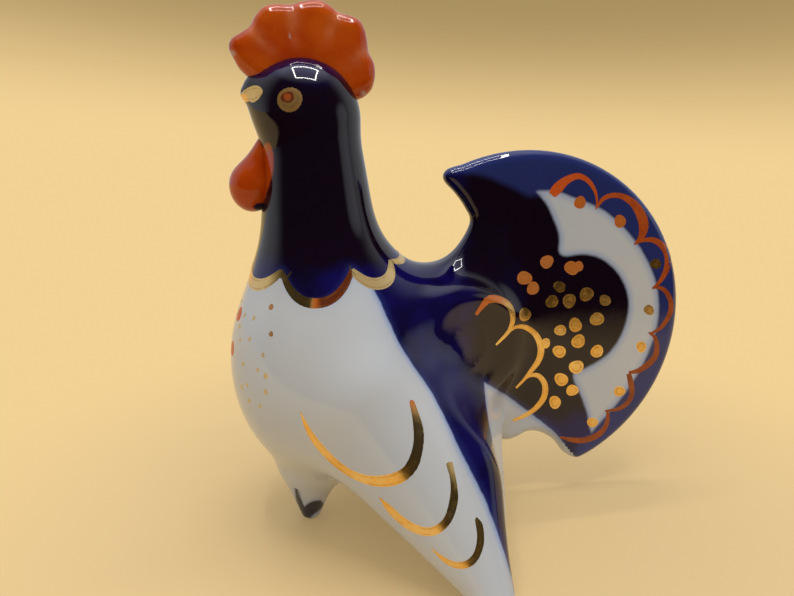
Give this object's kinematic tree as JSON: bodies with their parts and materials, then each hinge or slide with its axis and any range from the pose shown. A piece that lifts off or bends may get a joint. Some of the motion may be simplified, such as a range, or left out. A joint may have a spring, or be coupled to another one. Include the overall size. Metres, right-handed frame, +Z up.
{
  "type": "porcelain cockerel figurine",
  "caption": "Glazed porcelain cockerel standing on a front foot and two flared wing tips, with a lobed comb, a wattle and a round flat tail fan.",
  "frame": {"origin": "on the table under the middle of the figurine's length and width", "axes": "+Z up, the bird faces -X with its tail towards +X, and its left side is -Y"},
  "size_m": [0.1366, 0.1026, 0.1452],
  "materials": {
    "white_glaze": "gloss",
    "cobalt_glaze": "gloss",
    "orange_red_glaze": "gloss"
  },
  "bodies": {
    "root": {"body_shell": "white_glaze", "neck_and_head": "cobalt_glaze", "comb": "orange_red_glaze", "wattle": "orange_red_glaze", "tail_fan": "cobalt_glaze", "left_wing": "white_glaze", "right_wing": "white_glaze", "front_foot": "white_glaze"}
  },
  "joints": []
}
